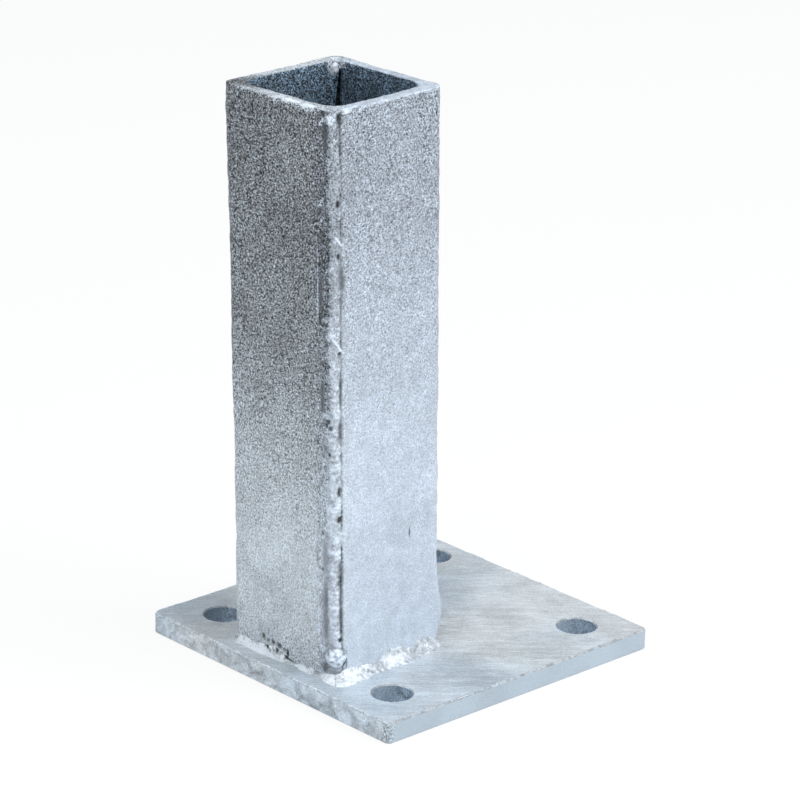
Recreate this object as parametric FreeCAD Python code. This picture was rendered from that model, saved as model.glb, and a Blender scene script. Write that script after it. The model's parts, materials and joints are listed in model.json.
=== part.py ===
import FreeCAD, Part
import math
import os

# Galvanised timber post base.  A thick square anchor plate carries an upright,
# open-topped square box that takes the foot of a post.  The box is two equal
# hot-rolled steel angles set toe to toe: each angle's heel makes one corner,
# and the two open corners between the toes are closed by long seam welds.
# Four fillet weld passes, one to each wall, join the box to the plate.
# The box stands off centre on the plate, close to the -X edge.  It is turned a
# little and leans a little, as it was when it was tacked down by hand.
#
# Frame: origin at the centre of the plate's underside, +Z up, -Y is the front.
# Units: millimetres and degrees.

Vector = FreeCAD.Vector

# ---- driving dimensions: anchor plate ----
PLATE_SIDE = 160.0            # square plate, edge to edge
PLATE_THICKNESS = 10.0
PLATE_CORNER_RADIUS = 3.0     # the four upright corners
PLATE_EDGE_CHAMFER = 0.9      # broken top edge all round
PLATE_FOOT_CHAMFER = 0.6      # bottom edge all round
HOLE_DIAMETER = 18.0          # clearance for M16 anchors
HOLE_EDGE_CHAMFER = 0.6       # broken top edge of each hole
HOLE_INSET = 23.0             # plate edge to hole centre, regular holes
BACK_HOLE_INSET_X = 17.0      # the hole behind the box is drilled off pattern
BACK_HOLE_INSET_Y = 33.5

# ---- driving dimensions: rolled angles ----
ANGLE_LEG = 60.0              # equal leg angle, 60 x 60 x 6
ANGLE_THICKNESS = 6.0
HEEL_RADIUS = 4.5             # outside of the heel
ROOT_RADIUS = 8.0             # inside of the heel
TOE_RADIUS = 4.0              # inner edge of each toe
ANGLE_LENGTH = 260.0          # height of the box above the plate
RIM_CHAMFER = 0.6             # broken edge round each sawn top end
BOX_SETBACK = 9.8             # plate -X edge to the box's -X wall, before the turn
BOX_SIDE_SHIFT = 1.5          # off the plate's centre line, towards +Y
BOX_TURN = 2.4                # as welded, about the upright axis, degrees
BOX_LEAN_X = -4.5             # the rim's drift along X from the foot, as welded
BOX_LEAN_Y = 1.2              # the rim's drift along Y from the foot, as welded

# ---- driving dimensions: welds ----
SEAM_ROOT_SWEEP = 25.0        # how far the seam wraps round each toe radius, degrees
SEAM_RIPPLE_PITCH = 10.0      # along the seam, ripple to ripple
SEAM_CAP_FACETS = 6           # facets across the cap of the bead
SEAM_CROWN = 0.55             # crown of a seam ripple over the flush corner arc
SEAM_WANDER = 0.5             # how far the crown strays to either side
SEAM_PLAIN_FOOT = 4.8         # flush length of seam hidden under the foot welds
SEAM_KNOB_CROWN = 1.6         # stop-start lump just above the foot
SEAM_KNOB_LENGTH = 8.4
FOOT_RIPPLE_PITCH = 5.5       # along a foot weld, ripple to ripple
FOOT_RIPPLE_DEPTH = 0.14      # ripple height as a share of the weld's leg
FOOT_BURIED_DEPTH = 1.0       # overlap into the wall before it is trimmed flush

# Each foot weld pass: leg along the plate, leg up the wall.
FOOT_LEGS = {
    "left": (2.6, 3.0),
    "front": (7.2, 4.9),
    "right": (6.0, 4.8),
    "back": (6.0, 4.8),
}
# Legs where two passes meet at a corner, named by the two walls.
CORNER_LEGS = {
    "left_front": (6.6, 4.6),
    "front_right": (5.6, 4.6),
    "right_back": (6.0, 4.5),
    "back_left": (3.6, 3.8),
}

# ---- derived values ----
BOX_SIDE = ANGLE_LEG + ANGLE_THICKNESS
BOX_X = -PLATE_SIDE / 2 + BOX_SETBACK + BOX_SIDE / 2
BOX_CENTRE = Vector(BOX_X, BOX_SIDE_SHIFT, PLATE_THICKNESS)
BOX_RISE = Vector(BOX_LEAN_X, BOX_LEAN_Y, ANGLE_LENGTH)
HALF_BOX = BOX_SIDE / 2
SEAM_CORNER_RADIUS = ANGLE_THICKNESS


def ring_offset(angle_deg, radius):
    """Vector of the given length at an angle from +X in the ground plane."""
    angle = math.radians(angle_deg)
    return Vector(radius * math.cos(angle), radius * math.sin(angle), 0)


def arc_about(centre, radius, start_deg, end_deg):
    """Circular arc edge about a centre, from one angle to another."""
    middle_deg = (start_deg + end_deg) / 2
    start = centre + ring_offset(start_deg, radius)
    middle = centre + ring_offset(middle_deg, radius)
    end = centre + ring_offset(end_deg, radius)
    return Part.Arc(start, middle, end).toShape()


def placed(wire, turn_deg, height=0.0):
    """A level wire drawn at the box's -X -Y corner, moved to where it belongs.

    It is turned about the box's upright axis, by `turn_deg` to its own corner
    and by the box's own turn, and moved up along the leaning box.
    """
    moved = wire.copy()
    moved.translate(BOX_CENTRE - Vector(HALF_BOX, HALF_BOX, 0))
    moved.rotate(BOX_CENTRE, Vector(0, 0, 1), turn_deg + BOX_TURN)
    moved.translate(BOX_RISE * (height / ANGLE_LENGTH))
    return moved


def line(start, end):
    """Straight edge between two points."""
    return Part.LineSegment(start, end).toShape()


# ---- anchor plate ----

def hole_centres():
    """Centres of the four anchor holes on the plate's underside."""
    regular = PLATE_SIDE / 2 - HOLE_INSET
    back_x = PLATE_SIDE / 2 - BACK_HOLE_INSET_X
    back_y = PLATE_SIDE / 2 - BACK_HOLE_INSET_Y
    return [
        Vector(-regular, -regular, 0),
        Vector(regular, -regular, 0),
        Vector(-regular, regular, 0),
        Vector(back_x, back_y, 0),
    ]


def edges_at_height(shape, height):
    """Edges of a shape that lie wholly in one level plane."""
    flat = []
    for edge in shape.Edges:
        box = edge.BoundBox
        if abs(box.ZMin - height) < 1e-4 and abs(box.ZMax - height) < 1e-4:
            flat.append(edge)
    return flat


def upright_edges(shape):
    """Straight edges of a shape that run along Z."""
    found = []
    for edge in shape.Edges:
        box = edge.BoundBox
        if box.XLength < 1e-4 and box.YLength < 1e-4:
            found.append(edge)
    return found


def base_plate():
    """Square plate with broken edges and four drilled anchor holes."""
    corner = Vector(-PLATE_SIDE / 2, -PLATE_SIDE / 2, 0)
    plate = Part.makeBox(PLATE_SIDE, PLATE_SIDE, PLATE_THICKNESS, corner)
    plate = plate.makeFillet(PLATE_CORNER_RADIUS, upright_edges(plate))
    plate = plate.makeChamfer(PLATE_EDGE_CHAMFER, edges_at_height(plate, PLATE_THICKNESS))
    plate = plate.makeChamfer(PLATE_FOOT_CHAMFER, edges_at_height(plate, 0))
    for centre in hole_centres():
        plate = plate.cut(Part.makeCylinder(HOLE_DIAMETER / 2, PLATE_THICKNESS, centre))
    rims = [edge for edge in edges_at_height(plate, PLATE_THICKNESS)
            if isinstance(edge.Curve, Part.Circle)]
    hole_rims = [edge for edge in rims if abs(edge.Curve.Radius - HOLE_DIAMETER / 2) < 1e-4]
    return plate.makeChamfer(HOLE_EDGE_CHAMFER, hole_rims)


# ---- rolled angles ----

def angle_section():
    """Closed section of the rolled angle, its heel at the origin, legs on +X and +Y."""
    leg = ANGLE_LEG
    thick = ANGLE_THICKNESS
    toe = TOE_RADIUS
    inner = thick + ROOT_RADIUS
    heel_centre = Vector(HEEL_RADIUS, HEEL_RADIUS, 0)
    root_centre = Vector(inner, inner, 0)
    edges = [
        line(Vector(HEEL_RADIUS, 0, 0), Vector(leg, 0, 0)),
        line(Vector(leg, 0, 0), Vector(leg, thick - toe, 0)),
        arc_about(Vector(leg - toe, thick - toe, 0), toe, 0, 90),
        line(Vector(leg - toe, thick, 0), Vector(inner, thick, 0)),
        arc_about(root_centre, ROOT_RADIUS, 270, 180),
        line(Vector(thick, inner, 0), Vector(thick, leg - toe, 0)),
        arc_about(Vector(thick - toe, leg - toe, 0), toe, 0, 90),
        line(Vector(thick - toe, leg, 0), Vector(0, leg, 0)),
        line(Vector(0, leg, 0), Vector(0, HEEL_RADIUS, 0)),
        arc_about(heel_centre, HEEL_RADIUS, 180, 270),
    ]
    return Part.Wire(edges)


def upright_angle(turn_deg):
    """One angle standing on the plate, its heel at a corner of the box.

    At turn 0 the heel is at the box's -X -Y corner; the turn is about the
    box's own upright axis.
    """
    bar = Part.Face(placed(angle_section(), turn_deg)).extrude(BOX_RISE)
    top = PLATE_THICKNESS + ANGLE_LENGTH
    return bar.makeChamfer(RIM_CHAMFER, edges_at_height(bar, top))


# ---- seam welds ----

def seam_section(height, crown, stray, turn_deg):
    """Section of a seam weld in an open corner of the box, before trimming.

    The cap is a facetted arc that stands `crown` over the flush corner arc and
    leans to one side by `stray`.  The inner side runs through the metal of the
    two toes, which later trim it, and bridges the gap between their radii.
    """
    thick = ANGLE_THICKNESS
    toe = TOE_RADIUS
    flush = thick * (1 - math.sqrt(0.5))
    peak = flush - crown * math.sqrt(0.5)
    across = Vector(thick, 0, 0)
    along = Vector(0, thick, 0)
    middle = Vector(peak + stray, peak - stray, 0)
    cap = Part.Arc(across, middle, along).toShape().discretize(SEAM_CAP_FACETS + 1)
    left_centre = Vector(thick - toe, thick + toe, 0)
    right_centre = Vector(thick + toe, thick - toe, 0)
    left_root = left_centre + ring_offset(270 + SEAM_ROOT_SWEEP, toe)
    right_root = right_centre + ring_offset(180 - SEAM_ROOT_SWEEP, toe)
    wire = Part.makePolygon(cap + [left_root, right_root, cap[0]])
    return placed(wire, turn_deg, height)


def seam_weld(turn_deg, phase, knob_crown, angles):
    """Vertical seam bead from the plate to the rim, with ripples and a foot knob.

    At turn 0 it fills the -X -Y corner.  It is trimmed by the two angles that
    it joins.
    """
    sections = [seam_section(0, 0, 0, turn_deg), seam_section(SEAM_PLAIN_FOOT, 0, 0, turn_deg)]
    knob_middle = SEAM_PLAIN_FOOT + SEAM_KNOB_LENGTH / 2
    knob_top = SEAM_PLAIN_FOOT + SEAM_KNOB_LENGTH
    sections.append(seam_section(knob_middle, knob_crown, 0, turn_deg))
    sections.append(seam_section(knob_top, 0, 0, turn_deg))
    rippled = ANGLE_LENGTH - knob_top
    steps = 2 * round(rippled / SEAM_RIPPLE_PITCH)
    for step in range(1, steps + 1):
        height = knob_top + rippled * step / steps
        crest = step % 2
        swell = 0.75 + 0.25 * math.sin(1.7 * step + phase)
        stray = SEAM_WANDER * math.sin(0.6 * step + phase)
        if step == steps:
            stray = 0
        sections.append(seam_section(height, SEAM_CROWN * crest * swell, stray, turn_deg))
    return Part.makeLoft(sections, True, True).cut(angles)


# ---- foot welds ----

def corner_radius(corner):
    """Outer radius of the box at a corner: seams stand at two, heels at two."""
    if corner in ("left_front", "right_back"):
        return SEAM_CORNER_RADIUS
    return HEEL_RADIUS


def box_outline_solid():
    """Solid of the box's outer outline, used to trim the foot welds flush."""
    edges = []
    ends = []
    for quarter, corner in enumerate(("right_back", "back_left", "left_front", "front_right")):
        radius = corner_radius(corner)
        start_deg = 90 * quarter + BOX_TURN
        centre = BOX_CENTRE + ring_offset(start_deg + 45, (HALF_BOX - radius) * math.sqrt(2))
        edges.append(arc_about(centre, radius, start_deg, start_deg + 90))
        ends.append((centre + ring_offset(start_deg, radius),
                     centre + ring_offset(start_deg + 90, radius)))
    for index in range(4):
        edges.append(line(ends[index][1], ends[(index + 1) % 4][0]))
    outline = Part.Wire(Part.__sortEdges__(edges))
    return Part.Face(outline).extrude(BOX_RISE)


def foot_section(point, outward, legs):
    """Convex triangular weld section standing on the plate against the wall."""
    reach, rise = legs
    up = Vector(0, 0, 1)
    corners = [
        (-FOOT_BURIED_DEPTH, 0),
        (-FOOT_BURIED_DEPTH, rise),
        (0, rise),
        (0.44 * reach, 0.74 * rise),
        (0.80 * reach, 0.40 * rise),
        (reach, 0),
    ]
    points = [point + outward * across + up * high for across, high in corners]
    return Part.makePolygon(points + [points[0]])


def wall_stations(outward, start_corner, end_corner):
    """Points and directions along one wall, from corner middle to corner middle."""
    along = Vector(-outward.y, outward.x, 0)
    stations = []
    turns = 3
    first_radius = corner_radius(start_corner)
    last_radius = corner_radius(end_corner)
    first_centre = BOX_CENTRE + (outward - along) * (HALF_BOX - first_radius)
    last_centre = BOX_CENTRE + (outward + along) * (HALF_BOX - last_radius)
    for turn in range(turns):
        lean = math.radians(45) * (turns - turn) / turns
        direction = outward * math.cos(lean) - along * math.sin(lean)
        stations.append((first_centre + direction * first_radius, direction))
    start = first_centre + outward * first_radius
    run = last_centre + outward * last_radius - start
    steps = 2 * round(run.Length / FOOT_RIPPLE_PITCH)
    for step in range(steps + 1):
        stations.append((start + run * (step / steps), outward))
    for turn in range(1, turns + 1):
        lean = math.radians(45) * turn / turns
        direction = outward * math.cos(lean) + along * math.sin(lean)
        stations.append((last_centre + direction * last_radius, direction))
    return stations


def foot_weld(name, facing_deg, start_corner, end_corner, outline):
    """One rippled fillet weld pass along a wall, meeting its neighbours at the corners."""
    stations = wall_stations(ring_offset(facing_deg + BOX_TURN, 1), start_corner, end_corner)
    last = len(stations) - 1
    sections = []
    for index, (point, direction) in enumerate(stations):
        share = index / last
        start_pull = (1 - share) ** 6
        end_pull = share ** 6
        ripple = FOOT_RIPPLE_DEPTH * (index % 2) * math.sin(math.pi * share)
        legs = []
        for side in range(2):
            leg = FOOT_LEGS[name][side]
            leg += start_pull * (CORNER_LEGS[start_corner][side] - leg)
            leg += end_pull * (CORNER_LEGS[end_corner][side] - leg)
            legs.append(leg * (1 + ripple))
        sections.append(foot_section(point, direction, legs))
    return Part.makeLoft(sections, True, True).cut(outline)


def build():
    """All sub-parts of the post base, by node name."""
    outline = box_outline_solid()
    back_left = upright_angle(-90)
    front_right = upright_angle(90)
    both = Part.makeCompound([back_left, front_right])
    return {
        "base_plate": base_plate(),
        "angle_back_left": back_left,
        "angle_front_right": front_right,
        "seam_weld_front_left": seam_weld(0, 0.4, SEAM_KNOB_CROWN, both),
        "seam_weld_back_right": seam_weld(180, 2.1, SEAM_CROWN, both),
        "foot_weld_left": foot_weld("left", 180, "back_left", "left_front", outline),
        "foot_weld_front": foot_weld("front", 270, "left_front", "front_right", outline),
        "foot_weld_right": foot_weld("right", 0, "front_right", "right_back", outline),
        "foot_weld_back": foot_weld("back", 90, "right_back", "back_left", outline),
    }


os.makedirs("parts", exist_ok=True)
for node, shape in build().items():
    solids = shape.Solids
    assert shape.isValid() and len(solids) == 1, node
    solids[0].exportStep(f"parts/{node}.step")
    print(f"{node}: {solids[0].Volume:.0f} mm3, {len(solids[0].Faces)} faces")
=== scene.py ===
import json
import logging
import math
from dataclasses import dataclass
from enum import Enum
from typing import Any, Callable

import bpy
import numpy as np
from mathutils import Matrix, Vector


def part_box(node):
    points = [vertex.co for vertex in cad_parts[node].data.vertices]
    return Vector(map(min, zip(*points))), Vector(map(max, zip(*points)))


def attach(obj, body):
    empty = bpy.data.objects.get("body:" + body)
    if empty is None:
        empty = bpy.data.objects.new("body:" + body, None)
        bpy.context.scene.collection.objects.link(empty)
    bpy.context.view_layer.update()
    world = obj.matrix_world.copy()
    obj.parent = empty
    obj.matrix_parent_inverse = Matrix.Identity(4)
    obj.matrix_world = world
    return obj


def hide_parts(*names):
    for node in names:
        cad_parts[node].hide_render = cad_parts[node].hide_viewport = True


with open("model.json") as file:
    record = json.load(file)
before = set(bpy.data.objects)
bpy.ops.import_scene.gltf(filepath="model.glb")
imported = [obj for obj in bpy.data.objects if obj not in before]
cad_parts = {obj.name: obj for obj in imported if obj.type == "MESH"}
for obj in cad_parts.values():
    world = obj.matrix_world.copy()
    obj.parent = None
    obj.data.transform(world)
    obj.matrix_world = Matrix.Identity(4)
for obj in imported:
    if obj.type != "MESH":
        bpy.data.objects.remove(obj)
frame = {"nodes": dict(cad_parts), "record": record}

LOG = logging.getLogger("post_base")
MM = 0.001
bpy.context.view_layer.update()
BODY = "root"


# ==== Sizes shared by the pieces, in millimetres, in the frame of the solids ====

@dataclass(frozen=True)
class Sizes:
    """Working sizes of the post base, beside those that the frame gives."""

    thickness: float = 6.0
    leg: float = 60.0
    heel_radius: float = 4.5
    root_radius: float = 8.0
    toe_radius: float = 4.0
    turn_deg: float = 2.4
    lean_x: float = -4.5
    lean_y: float = 1.2
    rim_round: float = 0.6

    @property
    def half_box(self) -> float:
        """Half the box's side: an angle's leg and the other angle's thickness."""
        return (self.leg + self.thickness) / 2


SIZES = Sizes()


def node_box(node: str) -> tuple[np.ndarray, np.ndarray]:
    """Lowest and highest corner of a solid, in millimetres."""
    low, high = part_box(node)
    return np.array(low) / MM, np.array(high) / MM


PLATE_LOW, PLATE_HIGH = node_box("base_plate")
ANGLE_LOW = np.minimum(node_box("angle_back_left")[0], node_box("angle_front_right")[0])
ANGLE_HIGH = np.maximum(node_box("angle_back_left")[1], node_box("angle_front_right")[1])
LEAN = np.array([SIZES.lean_x, SIZES.lean_y])
BOX_FOOT = (ANGLE_LOW[:2] + ANGLE_HIGH[:2] - LEAN) / 2
PLATE_TOP = float(PLATE_HIGH[2])
RIM_TOP = float(ANGLE_HIGH[2])


def turned(points: np.ndarray, angle_deg: float) -> np.ndarray:
    """Points turned about the upright axis through the origin.

    Args:
        points: array of shape (..., 3).
        angle_deg: turn, counter-clockwise seen from above.

    Returns:
        The turned points, x' = x cos a - y sin a and y' = x sin a + y cos a.
    """
    angle = math.radians(angle_deg)
    cosine, sine = math.cos(angle), math.sin(angle)
    out = np.array(points, dtype=float)
    out[..., 0] = points[..., 0] * cosine - points[..., 1] * sine
    out[..., 1] = points[..., 0] * sine + points[..., 1] * cosine
    return out


def box_middle(height: np.ndarray) -> np.ndarray:
    """Middle of the box at a height: the foot's middle + lean (z - plate top) / wall height."""
    share = (np.asarray(height, dtype=float) - PLATE_TOP) / (RIM_TOP - PLATE_TOP)
    return BOX_FOOT + share[..., None] * LEAN


def box_to_world(points: np.ndarray, quarter_deg: float = 0.0) -> np.ndarray:
    """Points from the box's own frame (origin on its leaning axis) to the object's frame."""
    out = turned(points, quarter_deg + SIZES.turn_deg)
    out[..., :2] += box_middle(out[..., 2])
    return out


# ==== Noise and mesh helpers ====

def lattice_hash(cells: np.ndarray, seed: int) -> np.ndarray:
    """Pseudo-random numbers in -1..1 for whole-number lattice cells of shape (..., 3)."""
    mixed = cells[..., 0] * 374761393 + cells[..., 1] * 668265263
    mixed = mixed + cells[..., 2] * 2147483647 + seed * 974634777
    mixed = (mixed ^ (mixed >> 13)) * 1274126177
    mixed = mixed ^ (mixed >> 16)
    return (mixed & 0xFFFF) / 32767.5 - 1.0


def smooth_noise(points: np.ndarray, size: float, seed: int) -> np.ndarray:
    """Value noise: lattice numbers blended with the smooth step 3f^2 - 2f^3 on each axis.

    Args:
        points: array of shape (..., 3), millimetres.
        size: lattice spacing, about the size of a lump.
        seed: chooses the pattern.

    Returns:
        Noise in about -1..1, of shape (...).
    """
    scaled = points / size
    cell = np.floor(scaled).astype(np.int64)
    part = scaled - cell
    part = part * part * (3 - 2 * part)
    total = np.zeros(points.shape[:-1])
    for corner in range(8):
        step = np.array([corner & 1, (corner >> 1) & 1, (corner >> 2) & 1])
        weight = np.prod(np.where(step == 1, part, 1 - part), axis=-1)
        total += weight * lattice_hash(cell + step, seed)
    return total


def layered_noise(points: np.ndarray, size: float, seed: int, layers: int = 3) -> np.ndarray:
    """Sum of noises, each half the size and 0.55 of the height of the one before."""
    total = np.zeros(points.shape[:-1])
    height = 1.0
    for layer in range(layers):
        total += height * smooth_noise(points, size / 2 ** layer, seed + layer)
        height *= 0.55
    return total


def bump_at(distance: np.ndarray, width: float) -> np.ndarray:
    """Rounded bump: exp(-(distance / width)^2)."""
    return np.exp(-(distance / width) ** 2)


def ramp(values: np.ndarray, start: float, end: float) -> np.ndarray:
    """Straight climb from 0 at start to 1 at end, held at both."""
    return np.clip((values - start) / (end - start), 0, 1)


def mix(first: np.ndarray, second: np.ndarray, share: np.ndarray) -> np.ndarray:
    """Blend: first x (1 - share) + second x share."""
    return first * (1 - share) + second * share


@dataclass(frozen=True)
class Lumps:
    """Layered noise by name: lump size in millimetres, height, place in the seeds, layers."""

    size: float
    height: float
    offset: int = 0
    layers: int = 3

    def at(self, points: np.ndarray, seed: int) -> np.ndarray:
        """Height x layered noise of this size at the points."""
        return self.height * layered_noise(points, self.size, seed + self.offset, self.layers)


def arc_points(centre: tuple[float, float], radius: float, start_deg: float,
               end_deg: float, count: int) -> np.ndarray:
    """Points along an arc: centre + radius (cos a, sin a), a even from start to end."""
    angles = np.radians(np.linspace(start_deg, end_deg, count))
    return np.stack([centre[0] + radius * np.cos(angles),
                     centre[1] + radius * np.sin(angles)], axis=1)


@dataclass
class Skin:
    """Rings of points in millimetres, (rings, points, 3), and the masks that colour them.

    tone is the paleness, grit the strength of the grain, and inner is 1 on the
    box's inside.  A mask is one value or one for each point.
    """

    rings: np.ndarray
    tone: Any
    grit: Any
    inner: Any = 0.0


def ring_mesh(name: str, skin: Skin, closed_path: bool = False) -> bpy.types.Object:
    """Closed mesh over a skin, with its masks kept as attributes.

    Quad (i, j) joins points j and j + 1 of rings i and i + 1.  The first and
    last rings get flat caps unless the path closes on itself.

    Args:
        name: object name.
        skin: the rings and their masks.
        closed_path: whether the last ring joins the first.

    Returns:
        The new object, at the origin, riding on the body.
    """
    count, around = skin.rings.shape[:2]
    spans = count if closed_path else count - 1
    first = np.arange(spans)[:, None] * around
    after = ((np.arange(spans) + 1) % count)[:, None] * around
    here = np.arange(around)[None, :]
    there = (here + 1) % around
    quads = np.stack([first + here, first + there, after + there, after + here], axis=-1)
    faces: list[Any] = quads.reshape(-1, 4).tolist()
    if not closed_path:
        faces.append(list(range(around))[::-1])
        faces.append(list(range((count - 1) * around, count * around)))
    mesh = bpy.data.meshes.new(name)
    mesh.from_pydata((skin.rings.reshape(-1, 3) * MM).tolist(), [], faces)
    for key in ("tone", "grit", "inner"):
        values = np.broadcast_to(getattr(skin, key), (count, around))
        layer = mesh.attributes.new(key, "FLOAT", "POINT")
        layer.data.foreach_set("value", values.reshape(-1).astype(np.float32))
    mesh.validate()
    mesh.update()
    piece = bpy.data.objects.new(name, mesh)
    bpy.context.scene.collection.objects.link(piece)
    orient_outward(piece)
    smooth = np.ones(len(mesh.polygons), dtype=bool)
    if not closed_path:
        smooth[-2:] = False
    mesh.polygons.foreach_set("use_smooth", smooth)
    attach(piece, BODY)
    return piece


def orient_outward(piece: bpy.types.Object) -> None:
    """Flips a closed mesh whose signed volume, the sum of a . (b x c) / 6, is negative."""
    mesh = piece.data
    mesh.calc_loop_triangles()
    corners = np.zeros(len(mesh.loop_triangles) * 3, dtype=np.int32)
    mesh.loop_triangles.foreach_get("vertices", corners)
    places = np.zeros(len(mesh.vertices) * 3)
    mesh.vertices.foreach_get("co", places)
    triangle = places.reshape(-1, 3)[corners.reshape(-1, 3)]
    volume = np.einsum("ij,ij->i", triangle[:, 0], np.cross(triangle[:, 1], triangle[:, 2])).sum()
    if volume < 0:
        mesh.flip_normals()


# ==== Shader maths ====

class Val:
    """A shader socket that takes part in Python arithmetic."""

    def __init__(self, shader: "Shader", socket: Any) -> None:
        """Wraps a socket of a shader's tree."""
        self.shader = shader
        self.socket = socket

    def _math(self, operation: str, left: Any, right: Any) -> "Val":
        """One Math node on two values."""
        return self.shader.node("ShaderNodeMath", {"operation": operation}, {0: left, 1: right})

    def __add__(self, other: Any) -> "Val":
        """Sum."""
        return self._math("ADD", self, other)

    __radd__ = __add__

    def __mul__(self, other: Any) -> "Val":
        """Product."""
        return self._math("MULTIPLY", self, other)

    __rmul__ = __mul__

    def __sub__(self, other: Any) -> "Val":
        """Difference."""
        return self._math("SUBTRACT", self, other)

    def __rsub__(self, other: Any) -> "Val":
        """Difference from a number."""
        return self._math("SUBTRACT", other, self)

    def clamped(self) -> "Val":
        """The value held in 0..1."""
        return self.shader.node("ShaderNodeClamp", {}, {"Value": self})

    def ramp(self, low: float, high: float, start: float = 0.0, end: float = 1.0) -> "Val":
        """Linear map of low..high to start..end, clamped."""
        inputs = {"Value": self, "From Min": low, "From Max": high, "To Min": start, "To Max": end}
        return self.shader.node("ShaderNodeMapRange", {"clamp": True}, inputs)


class Shader:
    """Builds one material's node tree."""

    def __init__(self, name: str) -> None:
        """Starts a material with a Principled BSDF."""
        self.material = bpy.data.materials.new(name)
        self.material.use_nodes = True
        self.tree = self.material.node_tree
        self.principled = self.tree.nodes["Principled BSDF"]

    def node(self, kind: str, settings: dict[str, Any], inputs: dict[Any, Any],
             output: Any = 0) -> Val:
        """Adds a node: settings first, then socket values or links.

        Args:
            kind: the node's type.
            settings: node properties.
            inputs: socket key to value or Val.
            output: which output the result wraps.

        Returns:
            The wrapped output socket.
        """
        node = self.tree.nodes.new(kind)
        for key, value in settings.items():
            setattr(node, key, value)
        for key, value in inputs.items():
            if isinstance(value, Val):
                self.tree.links.new(value.socket, node.inputs[key])
            else:
                node.inputs[key].default_value = value
        return Val(self, node.outputs[output])

    def place(self, stretch: tuple[float, float, float] = (1, 1, 1),
              turn_deg: float = 0.0) -> Val:
        """Object coordinates in millimetres, stretched and turned about Z."""
        source = self.node("ShaderNodeTexCoord", {}, {}, "Object")
        turned_place = self.node("ShaderNodeMapping", {}, {
            "Vector": source,
            "Rotation": (0, 0, math.radians(turn_deg)),
            "Scale": (1 / MM, 1 / MM, 1 / MM),
        })
        return self.node("ShaderNodeVectorMath", {"operation": "MULTIPLY"},
                         {0: turned_place, 1: stretch})

    def noise(self, place: Val, size: float, detail: float = 2.0, rough: float = 0.5,
              warp: float = 0.0) -> Val:
        """Noise of about 0..1 whose lumps are `size` millimetres."""
        return self.node("ShaderNodeTexNoise", {"noise_dimensions": "3D"}, {
            "Vector": place, "Scale": 1 / size, "Detail": detail, "Roughness": rough,
            "Distortion": warp}, "Fac")

    def spot(self, centre: tuple[float, ...], half: tuple[float, ...]) -> Val:
        """Soft ellipsoid mask: 1 at the centre, 0 past half sizes, all in millimetres."""
        away = self.node("ShaderNodeVectorMath", {"operation": "SUBTRACT"},
                         {0: self.place(), 1: centre})
        share = self.node("ShaderNodeVectorMath", {"operation": "DIVIDE"}, {0: away, 1: half})
        length = self.node("ShaderNodeVectorMath", {"operation": "LENGTH"}, {0: share}, 1)
        return length.ramp(1.0, 0.4)

    def within(self, half: float) -> Val:
        """1 where both |x| and |y| are under a half size in millimetres, else 0."""
        size = self.node("ShaderNodeVectorMath", {"operation": "ABSOLUTE"}, {0: self.place()})
        parts = [self.node("ShaderNodeSeparateXYZ", {}, {"Vector": size}, name)
                 for name in ("X", "Y")]
        furthest = self.node("ShaderNodeMath", {"operation": "MAXIMUM"}, {0: parts[0], 1: parts[1]})
        return furthest.ramp(half + 0.2, half)

    def attribute(self, name: str) -> Val:
        """A mask stored on the mesh."""
        return self.node("ShaderNodeAttribute", {"attribute_name": name}, {}, "Fac")

    def blend(self, factor: Any, first: Any, second: Any) -> Val:
        """Mix of two colours by a factor."""
        return self.node("ShaderNodeMix", {"data_type": "RGBA"},
                         {"Factor": factor, 6: first, 7: second}, 2)

    def facing(self, axis: str) -> Val:
        """One part of the surface's own normal: X, Y or Z."""
        geometry = self.node("ShaderNodeNewGeometry", {}, {}, "Normal")
        return self.node("ShaderNodeSeparateXYZ", {}, {"Vector": geometry}, axis)

    def bump(self, height: Val, depth_mm: float, strength: float = 1.0) -> Val:
        """A Bump node on a height of about 0..1, `depth_mm` deep."""
        return self.node("ShaderNodeBump", {}, {
            "Height": height, "Distance": depth_mm * MM, "Strength": strength})

    def finish(self, colour: Any, roughness: Any, metallic: Any, normal: Val | None) -> Any:
        """Feeds the Principled sockets and returns the material."""
        feeds = {"Base Color": colour, "Roughness": roughness, "Metallic": metallic}
        if normal is not None:
            feeds["Normal"] = normal
        for key, value in feeds.items():
            if isinstance(value, Val):
                self.tree.links.new(value.socket, self.principled.inputs[key])
            else:
                self.principled.inputs[key].default_value = value
        return self.material


BLACK = (0.0, 0.0, 0.0, 1.0)
MIDDLE = (0.34, 0.66)    # the part of a noise node's range where most of its values lie
BRIGHTEST = 4.0          # cap on a grain's level, which also keeps it from going under 0
Tint = tuple[float, float, float, float]


def tint(red: float, blue: float) -> Tint:
    """White whose red and blue stand to its green as given, scaled so that none passes 1."""
    most = max(red, 1.0, blue)
    return (red / most, 1.0 / most, blue / most, 1.0)


@dataclass(frozen=True)
class Spot:
    """A dark spot in a zinc skin: its centre, its half sizes and how dark it is, 0 to 1."""

    centre: tuple[float, float, float]
    half: tuple[float, float, float]
    dark: float


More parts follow.
